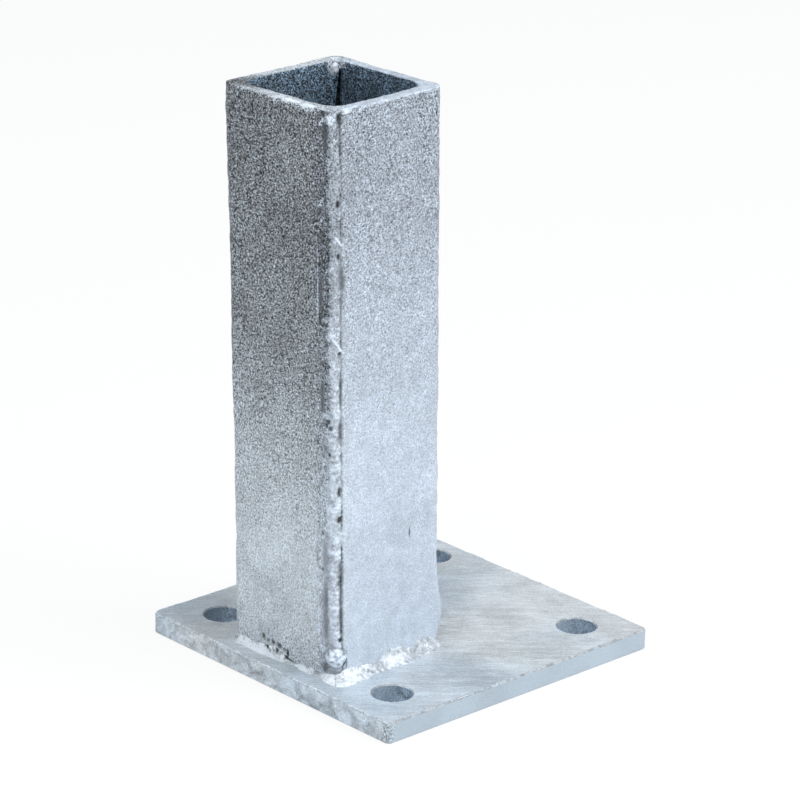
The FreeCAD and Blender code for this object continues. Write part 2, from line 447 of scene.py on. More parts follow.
@dataclass(frozen=True)
class HotDipZinc:
    """Gritty grey zinc whose paleness, grit and shade of blue are kept on the mesh.

    Colour = tint x paleness x (1 + contrast x grit x (grain - 1/2)), darkened in spots.
    """

    name: str
    out_tint: Tint
    # bluish tint of the painted shade inside the box
    in_shade_tint: Tint = tint(0.68, 1.34)
    grain: float = 0.85
    contrast: float = 7.5
    mottle: float = 6.5
    relief: float = 0.55
    roughness: float = 0.52
    metallic: float = 0.25
    spots: tuple["Spot", ...] = ()

    def make(self) -> Any:
        """The material."""
        shader = Shader(self.name)
        place = shader.place()
        paleness = shader.attribute("tone")
        grit = shader.attribute("grit")
        inner = shader.attribute("inner")
        grain = shader.noise(place, self.grain, 2.0, 0.7, 0.6).ramp(*MIDDLE)
        fine = shader.noise(place, self.grain * 0.5, 1.0, 0.5).ramp(*MIDDLE)
        mottle = shader.noise(place, self.mottle, 3.0, 0.6, 0.5).ramp(0.3, 0.7)
        mixed = grain * 0.6 + fine * 0.4
        level = paleness * (1 + grit * self.contrast * (mixed - 0.5)) * (0.9 + mottle * 0.2)
        level = level.ramp(0.0, BRIGHTEST, 0.0, BRIGHTEST)
        for spot in self.spots:
            level = level * (1 - shader.spot(spot.centre, spot.half) * spot.dark)
        shade = shader.blend(inner, self.out_tint, self.in_shade_tint)
        peak = max(self.out_tint) / self.out_tint[1]
        colour = shader.blend((level * peak).clamped(), BLACK, shade)
        normal = shader.bump(mixed * (0.35 + grit * 0.65), self.relief, 0.9)
        rough = mottle.ramp(0.0, 1.0, self.roughness - 0.05, self.roughness + 0.08)
        return shader.finish(colour, rough, self.metallic, normal)


@dataclass(frozen=True)
class PlateZinc:
    """Zinc on flat plate: drawn streaks on top, a broken painted highlight along the lip, painted
    shade in the holes, a rough and a smooth side.

    The faces are told apart by their normal: up is the top, flat out the sides
    and the holes, between them the lip, and towards -X the rough sheared side.
    """

    streak_turn: float = 41.4
    pale: float = 0.87
    dark: float = 0.27
    half_side: float = float(PLATE_HIGH[0])

    def make(self) -> Any:
        """The plate's material."""
        shader = Shader("plate_zinc")
        place = shader.place()
        along = shader.place((0.10, 1.0, 1.0), self.streak_turn)
        streak = shader.noise(along, 0.7, 2.0, 0.65).ramp(0.3, 0.7)
        wide = shader.noise(along, 3.6, 2.0, 0.5).ramp(0.3, 0.7)
        cloud = shader.noise(place, 34.0, 3.0, 0.5, 0.8).ramp(0.35, 0.65)
        grain = shader.noise(place, 0.75, 2.0, 0.7).ramp(*MIDDLE)
        up = shader.facing("Z")
        top = up.ramp(0.80, 0.93)
        side = up.ramp(0.45, 0.3)
        lip = (1 - top) * (1 - side)
        tone = streak * 0.32 + wide * 0.14 + cloud * 0.26 + grain * 0.28
        level = tone.ramp(0.0, 1.0, self.dark, self.pale)
        mottle = shader.noise(place, 9.0, 4.0, 0.65, 1.2).ramp(*MIDDLE)
        left = shader.facing("X").ramp(-0.5, -0.9)
        rough_side = (mottle * 0.62 + grain * 0.38).ramp(0.0, 1.0, 0.20, 0.87)
        smooth_side = (cloud * 0.6 + grain * 0.4).ramp(0.0, 1.0, 0.40, 0.50)
        flank = rough_side * left + smooth_side * (1 - left)
        level = level * top + flank * side
        # Painted highlight along the plate's top edge, brighter on the -X side.
        dashes = shader.noise(place, 2.2, 3.0, 0.7).ramp(0.40, 0.60)
        lip_highlight = dashes * (0.16 + left * 0.18) + 0.24 + left * 0.40
        level = level + lip * lip_highlight
        # Painted shade in the bolt holes: their walls are darker.
        hole = side * shader.within(self.half_side - 1.0)
        level = level * (1 - hole * 0.14) * (1 + hole * (grain - 0.5) * 0.55)
        near_corner = (-self.half_side, -self.half_side, PLATE_TOP / 2)
        corner = shader.spot(near_corner, (5.0, 5.0, 11.0)) * (1 - top)
        level = level * (1 + corner * ((grain - 0.5) * 1.15 - 0.08))
        warm = shader.noise(place, 60.0, 2.0, 0.4).ramp(0.4, 0.6)
        shade = shader.blend(warm, tint(0.875, 1.115), tint(0.94, 1.05))
        shade = shader.blend(side * (1 - hole) * (1 - left), shade, tint(0.855, 1.13))
        # bluish tint of the painted shade in the holes
        shade = shader.blend(hole, shade, tint(0.80, 1.22))
        colour = shader.blend((level * 1.10).clamped(), BLACK, shade)
        relief = streak * top * 0.35 + grain * 0.35 + mottle * side * 0.8
        normal = shader.bump(relief, 0.22, 0.7)
        rough = cloud.ramp(0.0, 1.0, 0.40, 0.54)
        return shader.finish(colour, rough, 0.30, normal)


# ==== The rolled angles ====

@dataclass(frozen=True)
class WallTone:
    """Paleness and grit of a wall at heights from the foot to the rim; the paleness is partly
    painted shade.
    """

    heights: tuple[float, ...]
    paleness: tuple[float, ...]
    grit: tuple[float, ...]
    cloud: float = 0.14

    def pale_at(self, points: np.ndarray, seed: int) -> np.ndarray:
        """Paleness: the value for the height x (1 + cloud x wide noise + half of it x small)."""
        level = np.interp(points[..., 2], self.heights, self.paleness)
        wide = layered_noise(points, 30.0, seed + 40, 2)
        small = layered_noise(points, 9.0, seed + 41, 2)
        return level * (1 + self.cloud * wide + 0.5 * self.cloud * small)

    def grit_at(self, points: np.ndarray) -> np.ndarray:
        """Grit for each point's height."""
        return np.interp(points[..., 2], self.heights, self.grit)


# Both walls are painted darker towards the rim, and the left wall darker than the right one, which
# faces the key lamp: partly painted shade, partly the zinc's own tone.
LEFT_TONE = WallTone((10, 30, 62, 115, 165, 220, 270),
                     (0.53, 0.59, 0.60, 0.44, 0.27, 0.21, 0.19),
                     (0.22, 0.17, 0.15, 0.36, 0.62, 0.98, 1.05))
RIGHT_TONE = WallTone((10, 30, 62, 115, 165, 220, 270),
                      (0.60, 0.59, 0.56, 0.525, 0.46, 0.355, 0.30),
                      (0.06, 0.06, 0.08, 0.11, 0.18, 0.30, 0.40), 0.06)
WALL_SWELL = Lumps(26.0, 0.12)
WALL_GRAIN = Lumps(3.0, 0.09, 7)
HEEL_WAVE = Lumps(5.0, 0.25, 9)
RIM_DIP = Lumps(3.0, 0.26, 3)
RIM_SPECKLE = Lumps(2.6, 0.14, 30)
INNER_CLOUD = Lumps(7.0, 0.35, 31, 2)
BURR_RAG = Lumps(2.2, 0.9, 12, 1)
# paleness of the box's inside: painted shade in the deep box
INNER_SHADE_PALE = 0.17
INNER_GRIT = 1.1
RIM_PALE_AND_HIGHLIGHT = 0.50
RIM_BAND = 0.7         # the pale band, partly painted highlight, reaches about this far below the rim
BURR_DROP = 0.5        # middle of the burrs, below the rim
BURR_BAND = 1.3        # half their height
BURR_STAND = 0.55      # how far a full burr stands out
TOE_CALM = 9.0         # the wall's waves die away over this distance from a toe
HEEL_BAND = 5.0        # half the strip that the heel's own waves cover
FLARE_BAND = 26.0      # half the strip of wall that flares with the heel
FLARE_FOOT = 100.0     # height where the flare starts


@dataclass
class RolledAngle:
    """One rolled angle of the box: softened rim, burrs, and a slightly wavy, gritty skin.

    A burr is its place along the rim from the first toe, its half length and
    its size.  heel_run swells the heel's foot, heel_dark dulls the rim over the
    heel and heel_flare bows the heel out towards the rim.
    """

    node: str
    quarter_deg: float
    seed: int
    tone: WallTone
    burrs: tuple[tuple[float, float, float], ...] = ()
    heel_run: float = 0.0
    heel_dark: float = 0.0
    heel_flare: float = 0.0
    leg_steps: int = 58
    height_steps: int = 176
    arc_steps: int = 7
    rim_steps: int = 8

    def skins(self) -> tuple[np.ndarray, np.ndarray]:
        """Matching points of the outer and inner skin, from toe to toe.

        The outer skin runs along one leg, round the heel arc and along the
        other leg; the inner skin rounds each toe, runs along the leg and round
        the root arc.  The second leg is the first mirrored in the diagonal.

        Returns:
            Two arrays (stations, 2) with the heel's outer corner at the origin.
        """
        size = SIZES
        thick, leg, toe = size.thickness, size.leg, size.toe_radius
        inner_corner = thick + size.root_radius
        toe_inner = arc_points((leg - toe, thick - toe), toe, 0, 90, self.arc_steps + 1)
        toe_outer = toe_inner * [1, 0]
        share = np.linspace(0, 1, self.leg_steps)[1:]
        run_inner = np.stack([leg - toe + (inner_corner - leg + toe) * share,
                              np.full_like(share, thick)], axis=1)
        run_outer = np.stack([leg - toe + (size.heel_radius - leg + toe) * share,
                              np.zeros_like(share)], axis=1)
        half_outer = arc_points((size.heel_radius,) * 2, size.heel_radius, 270, 225,
                                self.arc_steps)[1:]
        half_inner = arc_points((inner_corner,) * 2, size.root_radius, 270, 225,
                                self.arc_steps)[1:]
        outer = np.concatenate([toe_outer, run_outer, half_outer])
        inner = np.concatenate([toe_inner, run_inner, half_inner])
        return (np.concatenate([outer, outer[-2::-1, ::-1]]),
                np.concatenate([inner, inner[-2::-1, ::-1]]))

    def build(self, material: Any) -> bpy.types.Object:
        """Skins the angle: each ring goes up the outside, over the rim and down the inside."""
        outer, inner = self.skins()
        stations = len(outer)
        heights = np.linspace(PLATE_TOP, RIM_TOP - SIZES.rim_round, self.height_steps)
        turn = np.radians(np.linspace(0, 90, 5))
        soft = SIZES.rim_round
        soft_share = np.minimum(soft / np.linalg.norm(inner - outer, axis=1), 0.45)[:, None]
        across = np.linspace(0, 1, self.rim_steps + 1)[1:-1]
        climb_share = np.concatenate([np.zeros((stations, self.height_steps)),
                                      soft_share * (1 - np.cos(turn))[1:]], axis=1)
        climb = np.concatenate([heights, RIM_TOP - soft + soft * np.sin(turn[1:])])
        share = np.concatenate([climb_share, soft_share + (1 - 2 * soft_share) * across,
                                1 - climb_share[:, ::-1]], axis=1)
        height = np.concatenate([climb, np.full(len(across), RIM_TOP), climb[::-1]])
        flat = mix(outer[:, None, :], inner[:, None, :], share[..., None])
        column = np.tile(height[None, :, None], (stations, 1, 1))
        rings = np.concatenate([flat, column], axis=2)
        rings[..., :2] -= SIZES.half_box
        rings = box_to_world(rings, self.quarter_deg)
        path = np.concatenate([[0.0], np.cumsum(np.linalg.norm(np.diff(outer, axis=0), axis=1))])
        along = np.tile(path[:, None], (1, rings.shape[1]))
        skin = self.masked(rings, share, along)
        skin.rings = self.weathered(rings, share, along)
        piece = ring_mesh(self.node + "_zinc", skin)
        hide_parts(self.node)
        piece.data.materials.append(material)
        return piece

    def burr_weight(self, rings: np.ndarray, along: np.ndarray) -> np.ndarray:
        """How much burr stands at each place along the rim: the burrs' bumps, roughened."""
        total = np.zeros(along.shape)
        for place, length, size in self.burrs:
            total += size * bump_at(along - place, length)
        return total * np.clip(0.75 + BURR_RAG.at(rings, self.seed), 0, 1.6)

    def outer_edge(self, rings: np.ndarray, share: np.ndarray) -> np.ndarray:
        """Bump at the rim's outer edge, where the burrs stand."""
        return bump_at(RIM_TOP - BURR_DROP - rings[..., 2], BURR_BAND) * (share < 0.5)

    def masked(self, rings: np.ndarray, share: np.ndarray, along: np.ndarray) -> Skin:
        """The skin with its masks, before it is weathered.

        Args:
            rings: points of the skin.
            share: 0 on the outer skin, 1 on the inner skin, between on the rim.
            along: distance from the first toe round the outer skin.

        Returns:
            The rings and their masks: the wall's tone, partly painted shade, a pale rim
            that is partly painted highlight, dull over the heel, brighter burrs and a gritty
            inside painted dark as shade.
        """
        inner = ramp(share, 0.88, 0.98)
        rim = bump_at(RIM_TOP - rings[..., 2], RIM_BAND) * (1 - inner)
        dull = self.heel_dark * bump_at(along - along.max() / 2, 10.0)
        speckle = np.clip(0.07 + RIM_SPECKLE.at(rings, self.seed), 0, RIM_SPECKLE.height)
        pale = mix(self.tone.pale_at(rings, self.seed), (RIM_PALE_AND_HIGHLIGHT + speckle) * (1 - dull), rim)
        pale = mix(pale, INNER_SHADE_PALE * (1 + INNER_CLOUD.at(rings, self.seed)), inner)
        burr = self.outer_edge(rings, share) * np.clip(self.burr_weight(rings, along), 0, 1)
        pale += 0.75 * burr
        grit = self.tone.grit_at(rings) * (1 - 0.8 * rim * (1 - dull))
        grit = mix(grit * (1 - 0.85 * burr), INNER_GRIT, inner)
        return Skin(rings, np.clip(pale, 0.02, 0.95), grit, inner)

    def weathered(self, rings: np.ndarray, share: np.ndarray,
                  along: np.ndarray) -> np.ndarray:
        """Moves the outer skin by waves, burrs and flare, and roughens the rim downwards.

        Args:
            rings: points of the skin.
            share: 0 on the outer skin, 1 on the inner skin, between on the rim.
            along: distance from the first toe round the outer skin.

        Returns:
            The moved points.
        """
        height = rings[..., 2]
        away = rings[..., :2] - box_middle(height)
        away = away / np.maximum(np.abs(away).max(axis=-1, keepdims=True), 1e-6)
        swell = WALL_SWELL.at(rings, self.seed)
        swell += self.tone.grit_at(rings) * WALL_GRAIN.at(rings, self.seed)
        from_toe = np.minimum(along, along.max() - along)
        swell *= np.clip(from_toe / TOE_CALM, 0.1, 1)
        swell += BURR_STAND * self.outer_edge(rings, share) * self.burr_weight(rings, along)
        from_heel = along - along.max() / 2
        heel = bump_at(from_heel, HEEL_BAND) * (share < 0.02)
        swell += heel * HEEL_WAVE.at(rings, self.seed)
        swell += heel * self.heel_run * bump_at(height - 26.0, 9.0)
        swell *= (share < 0.3) | (share > 0.98)
        flare = self.heel_flare * bump_at(from_heel, FLARE_BAND) * ramp(height, FLARE_FOOT, RIM_TOP)
        out = rings.copy()
        out[..., :2] += away * (swell + flare)[..., None]
        dip = np.maximum(RIM_DIP.at(rings, self.seed) + 0.35 * RIM_DIP.height, 0)
        out[..., 2] -= dip * bump_at(RIM_TOP - height, 2.5)
        return out


# ==== The seam welds ====

@dataclass(frozen=True)
class Mark:
    """A pit, notch, streak or fleck on a seam.

    height is its middle, across its place over the cap, tall and wide its half
    sizes in millimetres, push how far it stands out and pale its paleness.
    """

    height: float
    across: float
    tall: float
    wide: float
    push: float
    pale: float
    slope: float = 0.0


FRONT_MARKS = (
    Mark(268.8, -1.02, 1.5, 1.1, -0.8, 0.02), Mark(266.7, -0.27, 2.1, 1.6, 0.9, 0.85),
    Mark(264.7, -1.20, 2.2, 0.7, 0.5, 0.80, 0.6), Mark(266.9, 0.42, 2.2, 0.75, -1.0, 0.01),
    Mark(261.0, -0.85, 3.4, 1.3, -0.4, 0.09), Mark(269.3, 1.30, 0.9, 1.6, 0.5, 0.85),
    Mark(269.1, 1.85, 0.9, 0.5, -0.4, 0.03), Mark(269.0, 2.35, 1.0, 0.6, -0.4, 0.04),
    Mark(269.0, 2.75, 1.3, 1.2, 0.2, 0.22), Mark(256.0, -0.75, 5.0, 1.2, -0.35, 0.11),
    Mark(229.7, -1.24, 2.5, 0.38, 0.45, 0.95, 0.6), Mark(225.2, -1.42, 2.2, 0.9, -0.4, 0.08),
    Mark(229.4, 0.37, 1.6, 0.85, -1.0, 0.01), Mark(233.0, 0.66, 1.2, 0.5, -0.6, 0.03),
    Mark(212.8, 0.46, 2.4, 0.4, 0.5, 0.95, -0.7), Mark(206.1, 0.40, 1.5, 0.7, -1.0, 0.02),
    Mark(195.7, 0.72, 5.0, 1.7, -0.3, 0.14), Mark(192.2, -1.76, 17.0, 0.32, 0.35, 0.62),
    Mark(188.5, -1.36, 8.5, 1.0, -0.45, 0.12), Mark(176.7, -1.52, 2.0, 0.6, -0.8, 0.01),
    Mark(184.1, -0.54, 0.8, 1.6, -0.4, 0.08), Mark(181.4, -0.80, 0.7, 1.5, -0.3, 0.10),
    Mark(177.6, -0.75, 1.6, 0.9, 0.4, 0.50), Mark(175.2, -0.80, 0.7, 1.3, -0.4, 0.08),
    Mark(166.2, 0.33, 3.9, 0.4, 0.6, 0.95, -0.65), Mark(162.4, 0.48, 1.0, 0.7, -0.9, 0.01),
    Mark(141.6, -1.24, 8.5, 1.1, -0.5, 0.12), Mark(134.0, -0.90, 1.3, 2.2, 0.35, 0.60),
    Mark(131.4, -0.48, 1.0, 0.7, -0.6, 0.05), Mark(128.6, -0.30, 1.0, 0.8, -0.6, 0.06),
    Mark(129.6, -0.75, 1.2, 0.6, -0.5, 0.06), Mark(127.5, 0.56, 5.5, 1.0, -0.5, 0.10),
    Mark(143.8, 0.58, 8.0, 0.55, -0.5, 0.08), Mark(116.3, -0.45, 0.9, 0.6, -0.8, 0.01),
    Mark(120.7, -2.05, 0.7, 0.6, -0.3, 0.05), Mark(99.2, 0.42, 2.4, 0.9, -1.1, 0.01),
    Mark(86.1, 0.42, 1.6, 1.1, -1.0, 0.02), Mark(77.9, 0.80, 3.4, 1.5, 0.7, 0.66),
    Mark(79.0, -1.26, 0.9, 0.7, -0.5, 0.05), Mark(61.9, -1.28, 0.8, 0.7, -0.6, 0.03),
    Mark(61.5, 0.52, 5.5, 1.3, -0.5, 0.14), Mark(56.0, 0.46, 1.1, 1.1, -1.0, 0.01),
    Mark(56.3, -1.22, 1.0, 0.4, 0.4, 0.95), Mark(42.0, -0.95, 15.0, 1.55, -0.35, 0.22),
    Mark(41.6, -1.85, 13.0, 0.32, 0.35, 0.85), Mark(43.5, 0.56, 13.0, 0.95, -0.5, 0.13),
    Mark(29.3, 0.48, 1.1, 0.9, -0.9, 0.02), Mark(15.5, -1.00, 2.4, 1.5, -0.2, 0.10),
    Mark(17.5, 1.16, 2.6, 0.5, 0.05, 0.14), Mark(69.0, -0.98, 8.5, 1.4, -0.2, 0.31),
    Mark(13.9, 0.15, 1.5, 4.2, -0.1, 0.26),
)
BACK_MARKS = (
    Mark(243.0, 0.45, 1.6, 0.9, -0.8, 0.03), Mark(199.0, 0.55, 7.0, 1.2, -0.4, 0.14),
    Mark(150.0, -0.80, 9.0, 1.2, -0.4, 0.18), Mark(121.0, 0.40, 1.4, 0.8, -0.8, 0.03),
    Mark(84.0, -0.60, 1.2, 0.8, -0.8, 0.03), Mark(58.0, 0.60, 5.0, 1.2, -0.4, 0.14),
)


SEAM_LUMPS = Lumps(3.4, 1.0, 2)
SEAM_FLECKS = Lumps(1.3, 1.0, 6, 2)
SEAM_DOTS = Lumps(0.9, 1.0, 12, 1)
RIDGE_WANDER = Lumps(17.0, 0.10, 0, 1)
RIPPLE_DRIFT = Lumps(9.0, 2.6, 1, 1)
CUT_DEPTH = Lumps(12.0, 0.8, 4)
STRIP_EDGE = Lumps(5.0, 1.5, 8)
FINGER_DRIFT = Lumps(6.0, 3.0, 13, 1)
FINGER_PLACES = Lumps(15.0, 0.9, 14, 1)
CROWN = 0.90            # height of the ridge over the flush cap
RIPPLE_PITCH = 2.7
RIPPLE_HEIGHT = 0.13
CUT_PLACE = 0.66        # the undercut beside the ridge, in the cap's own measure
LEFT_STRIP = 4.8        # how far the weld lies over each wall
RIGHT_STRIP = 1.2
THIN_SKIN = 0.06        # least push of a strip, so that it stays over the wall's skin
KNOB_MIDDLE = 21.0
KNOB_HALF = 4.5
KNOB_STAND = 1.9
GROOVE_SHADE_TONE = 0.10      # painted shade in the open groove
FILL_TONE = 0.52        # tone of the weld that fills the rim's corner


@dataclass
class SeamWeld:
    """Long corner bead over two toes: rippled ridge, undercuts, pits and a foot knob.

    The cap's own measure u is -1 at the left toe and 1 at the right toe.  The
    strips beyond go on to left_end and right_end, and unit is u in millimetres.
    A lipped seam has pale lips of weld in the groove inside the box.
    """

    node: str
    quarter_deg: float
    seed: int
    marks: tuple[Mark, ...]
    left_tone: WallTone
    right_tone: WallTone
    knob: float = 1.0
    rows: int = 760
    cap_points: int = 66
    left_end: float = -2.35
    right_end: float = 3.20
    unit: float = 4.71
    fill_depth: float = 5.5
    lipped: bool = False

    def build(self, material: Any) -> bpy.types.Object:
        """Skins the bead from the plate to the rim.

        The cap is the flush arc between the toes and a thin strip on each
        wall, pushed out along its own normal; where the push is under the
        wall's skin the strip ends, which gives a ragged edge.  Nine points
        between the walls close each ring.
        """
        size = SIZES
        thick = size.thickness
        heights = np.linspace(PLATE_TOP, RIM_TOP - 0.15, self.rows)
        across = np.linspace(self.left_end, self.right_end, self.cap_points)
        on_arc = np.clip(across, -1, 1)
        angle = np.radians(225 + 45 * on_arc)
        normal = np.stack([np.cos(angle), np.sin(angle)], axis=1)
        flat = thick + thick * normal
        flat[:, 1] += np.maximum(-1 - across, 0) * self.unit
        flat[:, 0] += np.maximum(across - 1, 0) * self.unit
        z, u = np.meshgrid(heights, across, indexing="ij")
        grid = np.zeros(z.shape + (3,))
        grid[..., :2] = flat[None]
        grid[..., 2] = z
        push, pale, grit = self.relief(grid, z, u)
        grid[..., :2] += push[..., None] * normal[None]
        buried, full = self.inside(heights, float(flat[0, 1]), float(flat[-1, 0]))
        rings = np.concatenate([grid, buried], axis=1)
        rings[..., :2] -= size.half_box
        rings = box_to_world(rings, self.quarter_deg)
        rings = np.concatenate([rings, rings[-1:] + [0, 0, 0.05]])
        full = full[:, None]
        # The open groove is painted dark as shade; the one pale point of a lipped seam is its weld
        # lip.
        groove_shade_tone = np.full(9, GROOVE_SHADE_TONE)
        if self.lipped:
            groove_shade_tone = np.array([0.16, 0.16, 0.17, 0.24, 0.62, 0.10, 0.06, 0.14, 0.16])
        skin = Skin(rings, self.lidded(pale, mix(groove_shade_tone, FILL_TONE, full), FILL_TONE),
                    self.lidded(grit, 1 - 0.5 * full, 0.6),
                    self.lidded(0 * pale, 1 - full, 0.0))
        piece = ring_mesh(self.node + "_bead", skin)
        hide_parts(self.node)
        piece.data.materials.append(material)
        return piece

    def lidded(self, cap: np.ndarray, buried: np.ndarray, lid: float) -> np.ndarray:
        """One mask over the cap, the nine buried points of each ring and the lid."""
        rows = np.concatenate([cap, np.broadcast_to(buried, (len(cap), 9))], axis=1)
        return np.concatenate([rows, np.full((1, rows.shape[1]), lid)])

    def inside(self, heights: np.ndarray, left: float,
               right: float) -> tuple[np.ndarray, np.ndarray]:
        """Points of each ring's inner side: an open groove that fills up at the rim.

        Point = groove x (1 - full) + fill x full, where full rises smoothly
        from 0 to 1 over the last few millimetres under the rim.

        Args:
            heights: height of each ring.
            left: how far the strip reaches along the left wall.
            right: how far it reaches along the right wall.

        Returns:
            The points (rings, 9, 3) and how full each ring is.
        """
        groove = np.array([(right, 1.2), (7.6, 1.2), (7.2, 1.3), (6.2, 3.2), (5.2, 5.2),
                           (3.2, 6.2), (1.3, 7.2), (1.2, 7.6), (1.2, left)])
        fill = np.array([(right, 1.2), (12.3, 1.2), (12.3, 5.8), (10.3, 6.5), (8.05, 8.05),
                         (6.5, 10.3), (5.8, 12.3), (1.2, 12.3), (1.2, left)])
        if self.lipped:
            groove = np.array([(right, 1.2), (12.3, 1.2), (12.3, 5.8), (10.2, 6.3), (8.9, 7.0),
                               (7.4, 5.8), (5.2, 5.6), (1.2, 7.6), (1.2, left)])
        full = ramp(heights, RIM_TOP - self.fill_depth, RIM_TOP - self.fill_depth + 3.0)
        full = full * full * (3 - 2 * full)
        flat = mix(groove, fill, full[:, None, None])
        if self.lipped:
            swing = ramp(heights, RIM_TOP - 26.0, RIM_TOP - 6.0)[:, None]
            flat[:, 4] += swing * [-1.9, 1.6] * (1 - full[:, None])
        column = np.tile(heights[:, None, None], (1, 9, 1))
        return np.concatenate([flat, column], axis=2), full

    def relief(self, grid: np.ndarray, z: np.ndarray,
               u: np.ndarray) -> tuple[np.ndarray, np.ndarray, np.ndarray]:
        """Height of the bead over the flush cap, its paleness and its grit.

        Args:
            grid: points of the flush cap.
            z: height of each point.
            u: place across the cap: -1 at the left toe, 1 at the right.

        Returns:
            Push along the normal, paleness and grit.
        """
        upright = grid * [0, 0, 1]
        wander = RIDGE_WANDER.at(upright, self.seed)
        centred = u - 0.03 - wander
        lumps = SEAM_LUMPS.at(grid, self.seed)
        flecks = SEAM_FLECKS.at(grid, self.seed)
        dots = SEAM_DOTS.at(grid, self.seed)
        cut = bump_at(u - CUT_PLACE - 0.5 * wander, 0.11)
        cut *= np.clip(0.75 + CUT_DEPTH.at(upright, self.seed), 0.30, 1.2)
        cut *= np.clip(0.85 + 0.9 * dots + 0.3 * flecks, 0.05, 1.3)
        ridge = np.clip(1 - (centred / 0.66) ** 2, 0, 1)
        wave = 2 * math.pi * (z / RIPPLE_PITCH - 0.8 * centred ** 2)
        ripple = RIPPLE_HEIGHT * np.sin(wave + RIPPLE_DRIFT.at(grid, self.seed))
        push = CROWN * ridge ** 0.8 + ripple * (ridge > 0.02) + 0.24 * lumps + 0.12 * flecks
        push = push * np.clip(1.7 - np.abs(centred), 0.3, 1) - 0.6 * cut
        strip = self.strip(grid, z, u)
        skin = np.maximum(np.minimum(push, 0.26 + 0.14 * lumps), THIN_SKIN)
        push = np.where(np.abs(u) > 1, skin * strip, push)
        edge, calm = self.edges(grid, u, centred, lumps, flecks)
        worn = np.interp(z, (70, 150), (0.86, 0.95))
        # The cap's left part takes the left wall's darker tone, which is partly painted shade.
        left = self.left_tone.pale_at(grid, self.seed) * 0.84
        right = self.right_tone.pale_at(grid, self.seed) * mix(worn + 0.13 * ridge, 1.0, calm)
        pale = mix(left, right, edge)
        pale = pale * (1 + (0.18 * lumps + 0.30 * flecks + 0.16 * dots) * (1 - 0.9 * calm))
        # Painted shade darkens the undercut beside the ridge.
        pale *= 1 - 0.85 * np.clip(cut, 0, 1)
        marked = np.zeros(z.shape)
        for mark in self.marks:
            lift = z - mark.height
            side = (u - mark.across) * self.unit - mark.slope * lift
            weight = np.exp(-(lift / mark.tall) ** 4 - (side / mark.wide) ** 2)
            weight = np.clip(weight * (1.1 + 0.35 * flecks + 0.5 * dots), 0, 1)
            push += mark.push * weight
            pale += (mark.pale - pale) * weight
            marked = np.maximum(marked, weight)
        push = np.where((np.abs(u) > 0.84) & (strip > 0.2), np.maximum(push, 0.04), push)
        ring = np.hypot((z - KNOB_MIDDLE) / KNOB_HALF, (u - 0.08) / 1.04) + 0.05 * lumps
        knob = self.knob * np.clip(1 - ring ** 2, 0, 1) ** 0.5
        push += knob * (KNOB_STAND + 0.5 * lumps + 0.25 * flecks)
        pale += knob * (0.80 + 0.42 * flecks + 0.35 * dots - pale)
        # Painted shadow: a dark ring round the knob's edge, stronger under the knob and on its
        # right.
        under = ramp(z, 23.0, 19.0) * np.clip(0.75 + 0.5 * u, 0.2, 1)
        groove = self.knob * bump_at(ring - 1.10, 0.13) * (0.40 + 0.60 * under)
        groove *= np.clip(0.85 + 0.8 * lumps, 0, 1.2) * (np.abs(u) < 1.6)
        pale *= 1 - 0.88 * np.clip(groove, 0, 1)
        foot = np.clip((z - PLATE_TOP - 2.0) / 2.0, 0.15, 1)
        top = np.clip((RIM_TOP + 0.8 - z) / 2.2, 0.35, 1)
        right_grit = self.right_tone.grit_at(grid) * (0.60 + 0.40 * calm) + 0.05 * (1 - calm)
        grit = mix(self.left_tone.grit_at(grid), right_grit, edge)
        grit *= 1 - 0.85 * np.maximum(marked, np.clip(knob, 0, 1))
        return push * foot * top, np.clip(pale, 0.01, 0.95), grit

    def strip(self, grid: np.ndarray, z: np.ndarray, u: np.ndarray) -> np.ndarray:
        """How surely the strip over a wall is there: 1 near the toe, -1 past its ragged edge."""
        reach = (np.abs(u) - 1) * self.unit
        rim_patch = 8.0 * bump_at(RIM_TOP - z, 2.6)
        limit = np.where(u < 0, LEFT_STRIP, RIGHT_STRIP + rim_patch)
        limit = limit + STRIP_EDGE.at(grid, self.seed)
        return np.clip((limit - reach) / 1.4, -1, 1)

    def edges(self, grid: np.ndarray, u: np.ndarray, centred: np.ndarray,
              lumps: np.ndarray, flecks: np.ndarray) -> tuple[np.ndarray, np.ndarray]:
        """Where the left wall's dark tone, partly painted shade, ends, in fingers, and where the
        right wall's starts.

        Args:
            grid: points of the flush cap.
            u: place across the cap.
            centred: place across the wandering ridge.
            lumps: coarse noise at the points.
            flecks: fine noise at the points.

        Returns:
            Two masks, 0 on the left and 1 on the right of each edge.
        """
        z = grid[..., 2]
        start = np.interp(z, (60, 110, 150), (-0.80, -0.80, -0.52))
        finger = np.sin(2 * math.pi * (z / 2.3 - 0.6 * centred ** 2)
                        + FINGER_DRIFT.at(grid, self.seed))
        finger *= np.clip(0.25 + FINGER_PLACES.at(grid * [0, 0, 1], self.seed), 0, 1)
        edge = (u - start + 0.12 * lumps + 0.10 * flecks + 0.30 * finger) / 0.18
        return np.clip(edge, 0, 1), ramp(u, 0.75, 0.95)


# ==== The foot welds ====

class Wall(Enum):
    """The four walls of the box by the direction that each faces, in degrees."""

    LEFT = 180.0
    FRONT = 270.0
    RIGHT = 0.0
    BACK = 90.0


Profile = Callable[[np.ndarray], np.ndarray]


FOOT_LUMPS = Lumps(4.6, 0.62, 0, 4)
FOOT_EDGE = Lumps(3.4, 0.55, 9)
FOOT_PATCH = Lumps(6.0, 0.22, 7, 2)
FOOT_FLECK = Lumps(1.7, 0.34, 6, 2)
# Raggedness of the painted shade along a foot weld's upper edge.
TOE_SHADE_RAG = Lumps(2.0, 1.6, 5)
FOOT_RIPPLES = 22       # ripples along a wall
FOOT_RIPPLE_HEIGHT = 0.14
FOOT_SINK = 0.3         # the weld's underside goes this far into the plate
# darkest paleness of the painted shade along a foot weld's upper edge
TOE_SHADE_TONE = 0.04


